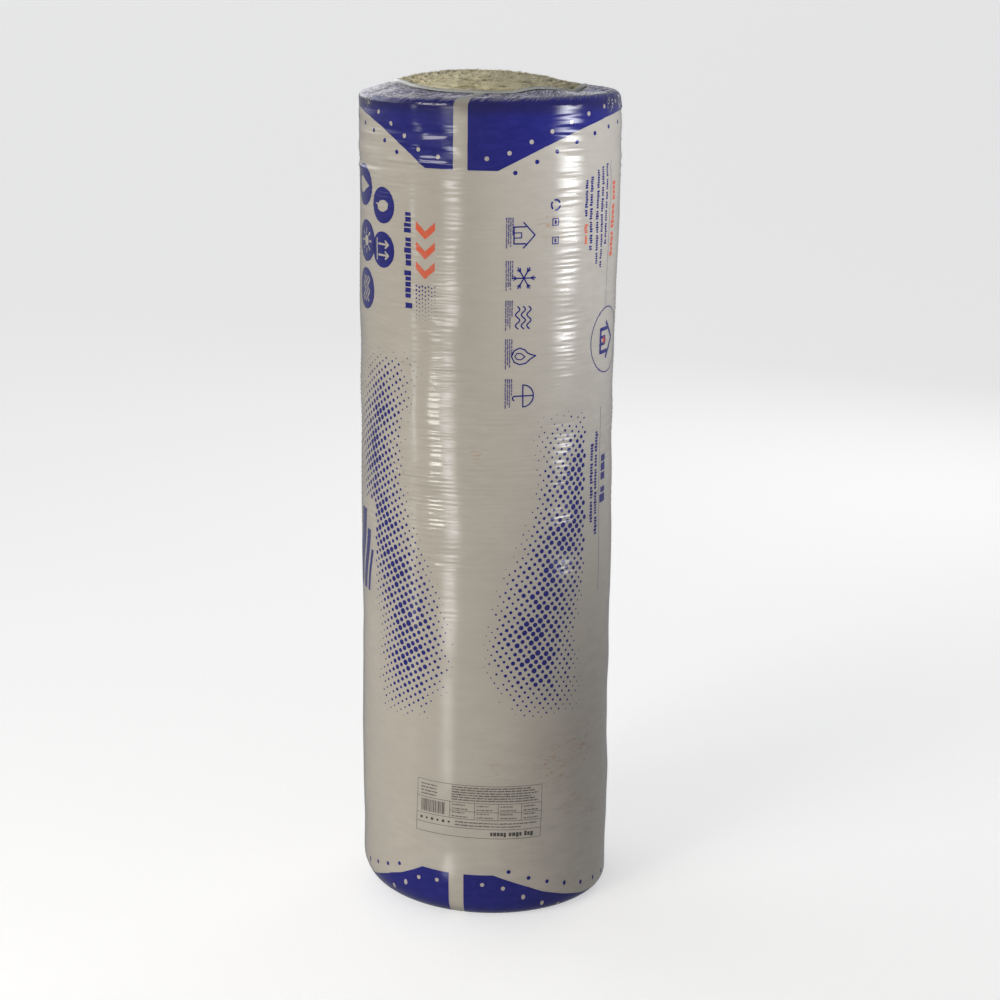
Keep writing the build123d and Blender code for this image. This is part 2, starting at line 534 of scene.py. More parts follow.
def fill(loops):
    """Triangles of a drawing: later loops are laid over earlier ones, True inks, False clears."""
    points, edges = [], []
    for loop, _ in loops:
        start = len(points)
        points += [Vector(p) for p in loop]
        edges += [(start + n, start + (n + 1) % len(loop)) for n in range(len(loop))]
    found, _, faces, _, _, _ = delaunay_2d_cdt(points, edges, [], 0, 1e-5)
    corners = np.array([[tuple(found[i]) for i in face] for face in faces])
    middles = corners.mean(axis=1)
    inked = np.zeros(len(middles), dtype=bool)
    for loop, ink in loops:
        inked[inside(loop, middles)] = ink
    result = []
    for triangle, keep in zip(corners, inked):
        (ax, ay), (bx, by), (cx, cy) = triangle
        if keep and abs((bx - ax) * (cy - ay) - (cx - ax) * (by - ay)) > 1e-6:
            result.append([tuple(p) for p in triangle])
    return result


def placed(loops, u, v, size=1.0, turn=0.0):
    """A drawing scaled, turned and moved to (u, v)."""
    c, s = cos(radians(turn)) * size, sin(radians(turn)) * size
    return [([(u + x * c - y * s, v + x * s + y * c) for x, y in loop], ink) for loop, ink in loops]


def draw(ink, loops):
    for shift in (0, ROUND / 2):
        for triangle in fill([([(u + shift, v) for u, v in loop], keep) for loop, keep in loops]):
            ink.add(triangle)


def stamp(ink, shape):
    """A single convex shape, on the front and on the back."""
    for shift in (0, ROUND / 2):
        ink.add([(u + shift, v) for u, v in shape])


def arc(x, y, radius, start, end, count=14):
    marks = [radians(start + (end - start) * n / count) for n in range(count + 1)]
    return [(x + radius * cos(a), y + radius * sin(a)) for a in marks]


def disc(x, y, radius, count=32):
    return arc(x, y, radius, 0, 360, count)[:-1]


def bar(x0, y0, x1, y1):
    return [(x0, y0), (x1, y0), (x1, y1), (x0, y1)]


def stroke(points, width, closed=False, round_ends=True):
    """Loops that together draw a line through the points."""
    loops = []
    pairs = list(zip(points, points[1:] + points[:1] if closed else points[1:]))
    for (ax, ay), (bx, by) in pairs:
        length = math.hypot(bx - ax, by - ay)
        nx, ny = (ay - by) / length * width / 2, (bx - ax) / length * width / 2
        loops.append(([(ax - nx, ay - ny), (bx - nx, by - ny), (bx + nx, by + ny), (ax + nx, ay + ny)], True))
    joints = points if closed or round_ends else points[1:-1]
    return loops + [(disc(x, y, width / 2, 10), True) for x, y in joints]


def clear(loops):
    return [(loop, False) for loop, _ in loops]


# Pictograms, about 2 across and centred on 0, 0

def drop():
    body = arc(0, -0.25, 0.55, 160, 380, 20)
    return [(body + [(0, 0.95)], True)]


def sun():
    loops = [(disc(0, 0, 0.36), True)]
    for n in range(8):
        a = n * pi / 4
        loops += stroke([(0.52 * cos(a), 0.52 * sin(a)), (0.8 * cos(a), 0.8 * sin(a))], 0.14)
    return loops


def house(width=0.12):
    walls = stroke([(-0.6, 0.1), (-0.6, -0.75), (0.6, -0.75), (0.6, 0.1)], width)
    roof = stroke([(-0.9, -0.05), (0, 0.8), (0.9, -0.05)], width)
    door = stroke([(-0.18, -0.75), (-0.18, -0.2), (0.18, -0.2), (0.18, -0.75)], width * 0.8)
    return walls + roof + door


def leaf():
    blade = arc(-0.45, -0.1, 0.95, -38, 50, 10) + arc(0.55, 0.05, 0.95, 142, 230, 10)
    vein = stroke([(0.1, 0.5), (0.02, -0.15), (-0.05, -0.5)], 0.09)
    return [(blade, True)] + clear(vein) + stroke([(0.05, -0.45), (-0.1, -0.9)], 0.1)


def waves(width=0.12):
    loops = []
    for n in (-1, 0, 1):
        line = [(-0.8 + 0.1 * k, 0.42 * n + 0.16 * sin(k * 0.8)) for k in range(17)]
        loops += stroke(line, width)
    return loops


def snow(width=0.1):
    loops = []
    for n in range(6):
        a = n * pi / 3 + pi / 6
        loops += stroke([(0, 0), (0.85 * cos(a), 0.85 * sin(a))], width)
        for side in (-0.5, 0.5):
            x, y = 0.5 * cos(a), 0.5 * sin(a)
            loops += stroke([(x, y), (x + 0.28 * cos(a + side), y + 0.28 * sin(a + side))], width * 0.8)
    return loops


def flame(width=0.12):
    outer = [(0, 0.95), (0.22, 0.55), (0.52, 0.2), (0.6, -0.25), (0.42, -0.65), (0, -0.85),
             (-0.42, -0.65), (-0.6, -0.25), (-0.45, 0.15), (-0.25, 0.3), (-0.12, 0.55)]
    inner = [(0.05, 0.15), (0.25, -0.15), (0.22, -0.45), (0, -0.6), (-0.22, -0.45), (-0.2, -0.15)]
    return stroke(outer, width, True) + stroke(inner, width * 0.8, True)


def umbrella(width=0.11):
    dome = stroke(arc(0, 0, 0.8, 0, 180, 16), width)
    hem = stroke([(-0.8, 0), (0.8, 0)], width)
    stem = stroke([(0, 0.8)] + arc(0.16, -0.6, 0.16, 180, 340, 6), width)
    return dome + hem + stem


def arrows(width=0.12):
    loops = []
    for x in (-0.42, 0.42):
        loops += stroke([(x, -0.5), (x, 0.7)], width)
        loops += stroke([(x - 0.26, 0.36), (x, 0.7), (x + 0.26, 0.36)], width)
    return loops + stroke([(-0.8, -0.75), (0.8, -0.75)], width)


def grey_text(seed, length, height, words=(3, 9), bold=0.62):
    """A line of text with its letters blocked out, along x from 0."""
    random = np.random.default_rng(seed)
    shapes, x = [], 0.0
    while x < length:
        for _ in range(int(random.integers(*words))):
            wide = height * bold * float(random.uniform(0.7, 1.15))
            if x + wide > length:
                return shapes
            low = 0.0 if random.random() < 0.82 else -0.25 * height
            high = height * (1.0 if random.random() < 0.8 else 1.25)
            shapes.append(bar(x, low, x + wide, high))
            x += wide + 0.16 * height
        x += 0.55 * height
    return shapes


def text_down(ink, seed, angle, top, length, height, words=(3, 9), bold=0.62):
    """Blocked-out text that runs down the roll, its foot towards the left."""
    for shape in grey_text(seed, length, height, words, bold):
        stamp(ink, [(angle * DEGREE + y, top - x) for x, y in shape])


# End bands, with the stripe that the film leaves unprinted

TOP_EDGE = (
    (-102.2, 1149.4), (-90, 1151.2), (-76.7, 1150.2), (-63.4, 1142.4), (-54.4, 1131.7), (-45.4, 1117.3),
    (-38.3, 1103.6), (-33.0, 1092.0), (-28.1, 1080.2), (3.7, 1079.2), (10.9, 1090.4), (17.3, 1100.1),
    (24.0, 1109.5), (31.2, 1118.6), (39.0, 1127.5), (48.1, 1136.0), (59.5, 1143.7), (71.1, 1147.9),
    (77.8, 1149.4),
)
FOOT_EDGE = (
    (-102.2, 12), (-90, 16), (-78, 23), (-64.9, 31.5), (-50.7, 42.6), (-41.6, 52.0), (-34.5, 62.9),
    (-29.4, 71.6), (-15.7, 69.2), (3.9, 68.0), (10.8, 58.5), (19.6, 46.5), (27.2, 37.0), (39.8, 25.5),
    (51.4, 17.0), (68.6, 10.0), (77.8, 9.0),
)
STRIPES = ((-15.3, -9.1), (-16.3, -9.5))


def end_band(edge, far, stripe, spots, radius):
    """A band from its shaped edge to the film's opening, with a row of dots left clear in it."""
    outline = [(a * DEGREE, v) for a, v in edge]
    outline += [(edge[-1][0] * DEGREE, far), (edge[0][0] * DEGREE, far)]
    reach = 20 if far > 500 else -20
    gap = bar(stripe[0] * DEGREE, min(v for _, v in outline) - 5 + min(reach, 0),
              stripe[1] * DEGREE, max(v for _, v in outline) + 5 + max(reach, 0))
    loops = [(outline, True), (gap, False)]
    loops += [(disc(a * DEGREE, v, radius, 14), False) for a, v in spots]
    draw(blue, loops)


def edge_spots(edge, marks, away):
    """Places beside the edge, away from it by a distance in v."""
    angles, heights = zip(*edge)
    return [(a, float(np.interp(a, angles, heights)) + away) for a in marks]


CLEAR_MARKS = (-88, -76, -66, -56, -47, -39, -31.5, -22, -1, 8.5, 18, 27.5, 37, 47, 58, 70)
INKED_MARKS = (-93, -80, -69, -59.5, -51, -43, 11, 20.5, 30, 40, 51, 62, 73)
end_band(TOP_EDGE, LIP - 0.4, STRIPES[0], edge_spots(TOP_EDGE, CLEAR_MARKS, 16), 3.1)
end_band(FOOT_EDGE, MOUTH + 0.5, STRIPES[1], edge_spots(FOOT_EDGE, CLEAR_MARKS, -15), 3.0)
for a, v in edge_spots(TOP_EDGE, INKED_MARKS, -14) + edge_spots(FOOT_EDGE, INKED_MARKS, 14):
    stamp(blue, disc(a * DEGREE, v, 3.1, 12))


# Two wavy ribbons of halftone dots

def ribbon(seed, low, high, middle, swing, wave, phase, half, keep_clear=()):
    random = np.random.default_rng(seed)
    pitch, turn = 9.4, radians(33)
    reach = int((high - low + 300) / pitch)
    for i in range(-reach, reach):
        for j in range(-reach, reach):
            x, y = i * pitch, j * pitch
            u = middle * DEGREE + x * cos(turn) - y * sin(turn)
            v = (low + high) / 2 + x * sin(turn) + y * cos(turn)
            chance, second = random.random(), random.random()
            if not low < v < high or abs(u - middle * DEGREE) > 2 * half:
                continue
            line = (middle + swing * sin(2 * pi * (v - low) / wave + phase)) * DEGREE
            away = abs(u - line) / half
            end = min(1.0, (v - low) / 90, (high - v) / 90)
            weight = (1 - away ** 1.6) * end ** 0.5 if away < 1 else 0
            radius = 4.6 * weight * (0.62 + 0.38 * second)
            if radius < 0.55 or chance > 0.35 + 1.3 * weight:
                continue
            if any(a0 < u / DEGREE < a1 and v0 < v < v1 for a0, a1, v0, v1 in keep_clear):
                continue
            stamp(dots, disc(u, v, radius, 6 if radius < 1.2 else 10))


ribbon(21, 292, 828, -48, 12, 560, 0.4, 78, ((-92, -60, 444, 600),))
ribbon(22, 298, 748, 34, 11, 520, 3.4, 88, ((49, 66, 465, 745),))


# Pictograms in discs, top left

DISCS = (
    (-70.2, 1047, 29, drop()), (-67.9, 970, 29, sun()), (-68.4, 903, 29, waves(0.16)),
    (-52.4, 1024, 25, leaf()), (-52.6, 963, 25, arrows(0.16)),
)
for a, v, radius, sign in DISCS:
    cleared = clear(placed(sign, a * DEGREE, v, radius * 0.72, -90))
    draw(blue, [(disc(a * DEGREE, v, radius, 48), True)] + cleared)


# Headline: slanted bars and chevrons, dots that fade out below them

def slanted(x, y, wide, tall, lean):
    return [(x, y), (x + wide, y), (x + wide + lean, y + tall), (x + lean, y + tall)]


for n in range(3):
    x = n * 27.0
    chevron = [(x, 0), (x + 11, 0), (x + 24, 15), (x + 11, 30), (x, 30), (x + 13, 15)]
    draw(orange, placed([(chevron, True)], -32.8 * DEGREE, 1008, 1.0, -90))
text_down(blue, 31, -38.3, 1019, 139, 9.5, (3, 6), 0.7)
for i in range(7):
    for j in range(11):
        size = 1.75 * (1 - j / 11.5) * (1 - 0.06 * i)
        if size > 0.35:
            stamp(dots, disc(-32.4 * DEGREE + 4.8 * i, 920 - 5.6 * j - 1.6 * (i % 2), size, 8))


# Line pictograms down the middle, each with lines of text beside it

COLUMN = ((993, house(0.1)), (935, snow(0.1)), (881, waves(0.1)), (828, flame(0.1)), (773, umbrella(0.1)))
for n, (v, sign) in enumerate(COLUMN):
    draw(blue, placed(sign, 15.2 * DEGREE, v, 19, -90))
    for k, length in enumerate((42, 36, 40, 24)):
        text_down(blue, 40 + 5 * n + k, 7.3 + 0.9 * k, v + 24, length, 1.5, (3, 9), 0.7)


# Text on the right

for n, (a, top, length, height) in enumerate((
    (60.2, 1081, 112, 4.4), (56.6, 1078, 140, 4.4), (53.0, 1074, 130, 4.4), (48.6, 1066, 104, 4.4),
    (45.6, 1062, 52, 4.0),
)):
    text_down(blue, 70 + n, a, top, length, height)
text_down(orange, 81, 67.0, 1055, 108, 8.5, (4, 8), 0.72)
text_down(orange, 82, 45.4, 1002, 30, 4.4, (3, 5))
for a, v0, v1 in ((64.4, 880, 1085), (61.5, 470, 740)):
    stamp(blue, bar(a * DEGREE - 0.4, v0, a * DEGREE + 0.4, v1))
text_down(blue, 83, 57.0, 706, 150, 6.0)
text_down(blue, 84, 53.2, 690, 120, 6.0)
text_down(blue, 85, 63.4, 668, 70, 15.0, (2, 4), 0.7)


# Ring emblem and small marks on the right

RING = (66.0, 834)
ring_u = RING[0] * DEGREE
draw(blue, [(disc(ring_u, RING[1], 47, 64), True), (disc(ring_u, RING[1], 45.2, 64), False)]
     + placed(house(0.2), ring_u, RING[1], 27, -90))
draw(orange, placed([(disc(0, 0, 0.3, 20), True)], ring_u - 8, RING[1], 20))
loops = []
for n in range(3):
    loops += stroke(arc(0, 0, 0.8, 120 * n + 20, 120 * n + 112, 6), 0.3, False, False)
draw(blue, placed(loops, 29.6 * DEGREE, 1032, 8.5))
boxed = [(bar(-1, -1, 1, 1), True), (bar(-0.7, -0.7, 0.7, 0.7), False), (bar(-0.3, -0.5, 0.3, 0.5), True)]
for v in (1009, 984):
    draw(blue, placed(boxed, 29.6 * DEGREE, v, 5.2))


# Big plain shape on the left: three leaning bars

for left, wide, tall in ((0, 24, 120), (31, 14, 92), (52, 8, 64)):
    draw(blue, [(slanted(-86 * DEGREE + left, 462, wide, tall, 0.22 * tall), True)])


# Data panel near the foot: frame, rules, blocked-out text and bars

PANEL_TURN = -1.9


def panel_place(x, y):
    c, s = cos(radians(PANEL_TURN)), sin(radians(PANEL_TURN))
    return -32.7 * DEGREE + x * c - y * s, 128.3 + x * s + y * c


def panel_shape(shape):
    stamp(dark, [panel_place(x, y) for x, y in shape])


def panel_text(seed, x, y, length, height, words=(3, 9), bold=0.7):
    for shape in grey_text(seed, length, height, words, bold):
        panel_shape([(x + a, y + b) for a, b in shape])


WIDE, TALL, RULE = 187.0, 79.5, 0.7
LEVELS = ((0, 0), (0, TALL), (0, 28), (0, 53), (0, 14), (52, 40))  # where a rule starts and how high
UPRIGHTS = ((0, 0, TALL), (WIDE, 0, TALL), (52, 28, 53), (88, 28, 53), (122, 28, 53), (156, 28, 53))
rules = [(x, y, WIDE, y) for x, y in LEVELS] + [(x, low, x, high) for x, low, high in UPRIGHTS]
for x0, y0, x1, y1 in rules:
    panel_shape(bar(x0 - RULE / 2, y0 - RULE / 2, x1 + RULE / 2, y1 + RULE / 2))
for n in range(6):
    panel_text(90 + n, 54, 56.2 + 3.8 * n, 128 - 6 * (n % 3), 1.7)
for n in range(4):
    panel_text(100 + n, 6, 57 + 5 * n, 26, 1.7)
for n in range(2):
    panel_text(106 + n, 60, 17.5 + 4.6 * n, 96 + 24 * n, 1.6)
for column, x in enumerate((55, 91, 125, 159)):
    for n in range(4):
        panel_text(110 + 4 * column + n, x, 30.4 + 5.9 * n, 24 - 5 * (n % 2), 1.6, (2, 5))
panel_text(130, 112, 4, 64, 5.6, (3, 6), 0.78)
bars = np.random.default_rng(131)
x = 7.0
while x < 44:
    wide = float(bars.choice([0.6, 0.9, 1.4]))
    panel_shape(bar(x, 31, x + wide, 50))
    x += wide + float(bars.choice([0.6, 0.9, 1.3]))
for n in range(6):
    panel_shape(disc(8 + 8.6 * n, 21, 2.3 - 0.5 * (n % 2), 10))

prints = [(ink.build(), ink.ink) for ink in (blue, dots, orange, dark)]


# The wool

MAT_LENGTH, WOOL_RADIUS, EYE = 9000.0, 181.7, 6.0
TURN = pi * (WOOL_RADIUS ** 2 - EYE ** 2) / MAT_LENGTH  # the thickness of one turn of the mat
EDGE_GAP = 0.6  # between the film's edge and the wool in its opening
FOOT_GAP = 1.6  # under the wool where the film is turned in below it
WOOL_COLUMNS, WOOL_STEP, CROWN_ROWS, BASE_ROWS = 400, 4, 104, 56
CROWN_SPAN, CROWN_MIDDLE = 275 / 0.7, 0.36  # of the crown's flat layout, seen from above
WOOL_FIELD, WOOL_SPACING = (360, WOOL_COLUMNS), (0.4, 2.0)
TANGLE = combed_noise(31, WOOL_FIELD, WOOL_SPACING, 3.2, 0.6, 16)
CLUMPS = combed_noise(32, WOOL_FIELD, WOOL_SPACING, 0, 9, 26)
WANDER = combed_noise(33, WOOL_FIELD, WOOL_SPACING, 0, 16, 60)
GAPS = combed_noise(34, WOOL_FIELD, WOOL_SPACING, 0, 12, 34)
FUZZ = combed_noise(35, WOOL_FIELD, WOOL_SPACING, 2.0, 0.8, 5)


def wool_at(field, angle, radius):
    return sampled(field, radius / WOOL_SPACING[0], angle / (2 * pi) * WOOL_COLUMNS)


def turn_at(angle, radius):
    """How many turns lie inside a place, and how far the place is from a seam between two."""
    turn = (radius - EYE) / TURN - angle / (2 * pi)
    return np.round(turn), np.abs(turn - np.round(turn)) * TURN


def crown(angle, radius):
    """Height of the wool in the upper opening, with its turns and their frayed edges."""
    angle, radius = np.broadcast_arrays(angle, radius)
    off = np.hypot(radius * np.sin(angle) + 17, radius * np.cos(angle))
    dome = 1197.2 - 8.5 * (off / 100) ** 2.3
    edge_r, edge_z = lip_edge(angle)
    shoulder = np.sin(pi / 2 * np.clip((edge_r - EDGE_GAP - radius) / 17, 0, 1))
    smooth = (edge_z - 1.6) + (dome - edge_z + 1.6) * shoulder
    layer, seam = turn_at(angle, radius + 0.7 * wool_at(WANDER, angle, radius))
    open_gap = 0.45 + 0.55 * rise(wool_at(GAPS, angle, radius), -0.6, 1.0)
    groove = -3.6 * open_gap * np.exp(-((seam / 1.9) ** 2))
    step = 0.55 * np.sin(layer * 2.4) + 0.5 * wool_at(CLUMPS, angle, radius)
    rough = 0.55 * wool_at(TANGLE, angle, radius) + 0.25 * wool_at(FUZZ, angle, radius)
    tame = 0.25 + 0.75 * np.clip((edge_r - radius) / 6, 0, 1)
    return smooth + (groove + step + rough) * rise(radius, EYE, 14) * tame


def wool_piece():
    """The crown, then down under the film to the foot, in over the flat base and up the eye."""
    fine, coarse = angles_of(WOOL_COLUMNS), angles_of(WOOL_COLUMNS // WOOL_STEP)
    rings = []
    top_r = lip_edge(fine)[0] - EDGE_GAP
    for n in range(CROWN_ROWS):
        radius = EYE + (top_r - EYE) * (n / (CROWN_ROWS - 1))
        rings.append(round_points(radius, fine, crown(fine, radius)))
    uvs = [ring[:, :2] / CROWN_SPAN + CROWN_MIDDLE for ring in rings]
    edge_r, edge_z = lip_edge(coarse)
    rings.append(round_points(edge_r - EDGE_GAP, coarse, edge_z - 8.0))
    hidden = [(v, LINING_TOP + 1.0) for v in (LIP - 12, FLANGE, FLANGE - 6, FLANGE - 12, RIM)]
    hidden += [(v, lining(v) + 0.8) for v in np.linspace(RIM - 60, FOOT_TOP, 18)]
    hidden += [(v, FOOT_GAP) for v in (*np.linspace(FOOT_TOP - 9, 0, 5), -13)]
    for v, inset in hidden:
        rings.append(surface(coarse, np.full(len(coarse), float(v)), inset, False))
    mouth = opening_radius(coarse, FOOT_WAVES) - EDGE_GAP
    rings.append(round_points(mouth, coarse, FOOT_GAP))
    for n in range(BASE_ROWS):
        radius = mouth + (EYE - mouth) * n / (BASE_ROWS - 1)
        _, seam = turn_at(coarse, radius)
        groove = 3.0 * np.exp(-((seam / 1.6) ** 2)) * rise(radius, EYE, 12) * rise(mouth - radius, 0, 4)
        rough = 0.35 * np.abs(wool_at(TANGLE, coarse, radius)) * rise(mouth - radius, 0, 3)
        rings.append(round_points(radius, coarse, groove + rough))
    rings += [round_points(EYE, coarse, height) for height in np.linspace(30, 1180, 12)]
    for n, ring in enumerate(rings[CROWN_ROWS:]):
        angles = np.arctan2(ring[:, 0], -ring[:, 1])
        uvs.append(ring_uv(angles, 0.76 + 0.23 * n / (len(rings) - CROWN_ROWS)))
    return closed_mesh("wool_body", rings[::-1], uvs[::-1])


wool = wool_piece()


STRAND_COUNT, SEGMENTS = 3600, 4
UV_CELLS = 60  # each way in the strands' flat layout, one for a strand


def strand(random):
    """One loose strand's path, which strays from its turn and ends at the opening, and its width."""
    radius = 8 + 122 * math.sqrt(random.random())
    angle = random.uniform(-pi, pi)
    heading = angle + random.normal(0, 0.45) + (pi if random.random() < 0.5 else 0)
    stride = random.uniform(10, 34) / SEGMENTS
    bend = random.normal(0, 0.5) / SEGMENTS
    x, y = radius * sin(angle), -radius * cos(angle)
    lift = random.uniform(0.1, 1.3)
    wide = random.uniform(0.16, 0.4)
    path = []
    for k in range(SEGMENTS + 1):
        here, r = np.array(math.atan2(x, -y)), math.hypot(x, y)
        if r > lip_edge(here)[0] - 1.5 or r < EYE - 1:
            break
        path.append((x, y, float(crown(here, r)) - 0.4 + lift * sin(pi * k / SEGMENTS) * 1.4))
        x += cos(heading) * stride
        y += sin(heading) * stride
        heading += bend + random.normal(0, 0.12)
    return path, wide


def fibre_piece():
    """Loose fibres and frayed strands that lie on the wool, mostly along its turns."""
    random = np.random.default_rng(51)
    points, faces, uvs = [], [], []
    for n in range(STRAND_COUNT):
        path, wide = strand(random)
        if len(path) < 3:
            continue
        start, last = len(points), len(points) + 3 * (len(path) - 1)
        for k, (x, y, z) in enumerate(path):
            (ax, ay, _), (bx, by, _) = path[max(k - 1, 0)], path[min(k + 1, len(path) - 1)]
            w = wide * (0.45 + 0.55 * sin(pi * (0.15 + 0.7 * k / (len(path) - 1))))
            length = math.hypot(bx - ax, by - ay)
            nx, ny = (ay - by) / length * w, (bx - ax) / length * w
            points += [(x - nx, y - ny, z), (x + nx, y + ny, z), (x, y, z + w * 0.9)]
            row = n // UV_CELLS + 0.1 + 0.8 * k / SEGMENTS
            uvs += [((n % UV_CELLS + across) / UV_CELLS, row / UV_CELLS) for across in (0.1, 0.8, 0.45)]
        for a in range(start, last, 3):
            faces += [(a + m, a + (m + 1) % 3, a + (m + 1) % 3 + 3, a + m + 3) for m in range(3)]
        faces += [(start + 2, start + 1, start), (last, last + 1, last + 2)]
    return new_piece("wool_fibres", np.array(points) * MM, faces, np.array(uvs)[np.concatenate(faces)])


fibres = fibre_piece()


# Materials

class Value:
    """A value in a node tree; a sum or product with it adds the node that works it out."""

    def __init__(self, tree, socket):
        self.tree, self.socket = tree, socket

    def math(self, operation, *others):
        return node(self.tree, "ShaderNodeMath", enumerate((self, *others)), operation=operation)

    def __add__(self, other):
        return self.math("ADD", other)

    def __sub__(self, other):
        return self.math("SUBTRACT", other)

    def __mul__(self, other):
        return self.math("MULTIPLY", other)

    def ramp(self, low, high):
        """0 below low, 1 above high, smooth between them."""
        inputs = {"Value": self, "From Min": low, "From Max": high}
        return node(self.tree, "ShaderNodeMapRange", inputs, interpolation_type="SMOOTHSTEP")

    def parts(self):
        """The three coordinates of a place."""
        return [node(self.tree, "ShaderNodeSeparateXYZ", {0: self}, n) for n in range(3)]


def node(tree, kind, inputs=(), output=0, **settings):
    """The output of a new node, whose inputs are values, numbers, places or colours."""
    made = tree.nodes.new(kind)
    for key, value in settings.items():
        setattr(made, key, value)
    for key, value in dict(inputs).items():
        if isinstance(value, Value):
            tree.links.new(value.socket, made.inputs[key])
        else:
            made.inputs[key].default_value = value
    return Value(tree, made.outputs[output])


def place_of(tree, scale=(1, 1, 1)):
    """Where a point lies in the object, in metres, stretched by scale."""
    where = node(tree, "ShaderNodeTexCoord", output="Object")
    return node(tree, "ShaderNodeMapping", {"Vector": where, "Scale": scale})


def noise_at(place, detail=3.0, roughness=0.5, distortion=0.0):
    return node(place.tree, "ShaderNodeTexNoise", {
        "Vector": place, "Scale": 1.0, "Detail": detail, "Roughness": roughness, "Distortion": distortion,
    })


def noise(tree, scale, *settings):
    return noise_at(place_of(tree, scale), *settings)


def blend(factor, one, other):
    """The first colour where factor is 0, the other where it is 1."""
    one, other = (tone if isinstance(tone, Value) else (*tone, 1) for tone in (one, other))
    return node(factor.tree, "ShaderNodeMix", {0: factor, 6: one, 7: other}, 2, data_type="RGBA")


def new_material(name, **values):
    material = bpy.data.materials.new(name)
    material.use_nodes = True
    for socket, value in values.items():
        material.node_tree.nodes["Principled BSDF"].inputs[socket.replace("_", " ")].default_value = value
    return material


def finish_material(material, tone, height, depth, strength=1.0):
    """Gives a material its tone, and bump of a height that counts in depths, in metres."""
    tree = material.node_tree
    inputs = tree.nodes["Principled BSDF"].inputs
    bump = node(tree, "ShaderNodeBump", {"Height": height, "Distance": depth, "Strength": strength})
    tree.links.new(tone.socket, inputs["Base Color"])
    tree.links.new(bump.socket, inputs["Normal"])
    return material


STARS = (  # bunched creases in the upper corner, in the bump and as painted glints on the inks: place in degrees and v, number of rays, reach in mm
    (-67, 1170, 13, 24), (64, 1160, 9, 16), (77, 1163, 9, 18), (131, 1168, 11, 20), (-140, 1166, 11, 20),
)
NEVER = (1300, 1301)  # beyond the film's end, for a band that doesn't fade


class Film:
    """What the materials of the film and of its inks share: places on it and its fine relief."""

    def __init__(self, tree):
        self.tree = tree
        share = node(tree, "ShaderNodeUVMap", uv_map="OFBake").parts()[1]
        self.v = share * (UV_HEIGHT / UV_SHARE) + MOUTH
        x, y, _ = place_of(tree).parts()
        self.angle = x.math("ARCTAN2", y * -1.0)
        self.streaks = self.swirled_noise()
        self.turned_in = (self.streaks * 14.0 + self.v).ramp(1178, 1184)

    def swirled_noise(self):
        """Streaks that lean over the turned-in end, seamless round the roll."""
        turn = self.v * -0.006 + self.angle
        place = {0: turn.math("COSINE") * 64.0, 1: turn.math("SINE") * 64.0, 2: self.v * 0.05}
        return noise_at(node(self.tree, "ShaderNodeCombineXYZ", place), 3.0, 0.6, 0.4)

    def band(self, start, full, fading=NEVER[0], end=NEVER[1]):
        """1 where v lies between full and fading, 0 outside start and end."""
        return self.v.ramp(start, full) - self.v.ramp(fading, end)

    def star(self, degrees, v, rays, size):
        """Uneven creases that run out from one point."""
        aside = (self.angle - radians(degrees)) * FILM_RADIUS
        above = self.v - v
        away = (aside * aside + above * above).math("SQRT")
        ray = (above.math("ARCTAN2", aside) * rays + self.streaks * 22.0).math("COSINE")
        return ray * (away.ramp(0.5, 5.0) * away.ramp(size, 0.0))

    def relief(self):
        """Fine tight ripples round the roll over soft crinkles, as on all stretched film."""
        height = noise(self.tree, (9, 9, 330), 2.5, 0.55, 0.3) * (self.v.ramp(360, 620) * 0.21 + 0.07)
        height = noise(self.tree, (34, 34, 60), 4.0) * 0.2 + height
        height = self.streaks * self.turned_in * 2.2 + height
        for settings in STARS:
            height = self.star(*settings) * 0.9 + height
        return height


SCUFFS = (  # place in degrees and height, reach in mm, strength
    (26, 1005, 26, 0.9), (34, 990, 18, 0.8), (34, 232, 60, 0.75), (52, 250, 55, 0.75), (8, 232, 45, 0.35),
    (44, 165, 38, 0.45), (60, 130, 60, 0.4), (-4, 690, 22, 0.5), (22, 415, 24, 0.5), (150, 300, 90, 0.6),
    (-140, 520, 70, 0.5), (-120, 160, 60, 0.5),
)


def scuffed(tree):
    """Where the film is rubbed and soiled."""
    where = place_of(tree)
    total = None
    for angle, height, reach, strength in SCUFFS:
        a = radians(angle)
        spot = (FILM_RADIUS * MM * sin(a), -FILM_RADIUS * MM * cos(a), height * MM)
        away = node(tree, "ShaderNodeVectorMath", {0: where, 1: spot}, "Value", operation="DISTANCE")
        near = away.ramp(reach * MM, 0.0) * strength
        total = total.math("MAXIMUM", near) if total else near
    return noise(tree, (55, 55, 240), 5.0, 0.65, 1.2).ramp(0.51, 0.65) * total


GLOSS = {"Roughness": 0.34, "Specular_IOR_Level": 0.12, "Coat_Weight": 1.0, "Coat_Roughness": 0.10}
FILM_BUMP = 0.001  # metres
RIM_SHADE = (1146, 1164, 1166, 1176)  # where the film bends in under its upper corner
RIM_SHADE_DEPTH = 0.6


def film_material():
    material = new_material("printed_film_white", **GLOSS)
    tree = material.node_tree
    on_film = Film(tree)
    tone = blend(noise(tree, (4, 4, 3)).ramp(0.35, 0.65), (0.47, 0.43, 0.365), (0.51, 0.47, 0.405))
    tone = blend(noise(tree, (30, 30, 90), 5.0, 0.6).ramp(0.3, 0.75), tone, (0.45, 0.412, 0.352))
    tone = blend(scuffed(tree), tone, (0.40, 0.235, 0.13))
    tone = blend(on_film.band(*RIM_SHADE) * RIM_SHADE_DEPTH, tone, (0.17, 0.155, 0.135))
    tone = blend(on_film.band(1172, 1180), tone, (0.44, 0.445, 0.435))
    tone = blend(on_film.band(LIP - 1.5, LIP + 0.5), tone, (0.52, 0.52, 0.49))
    return finish_material(material, tone, on_film.relief(), FILM_BUMP)


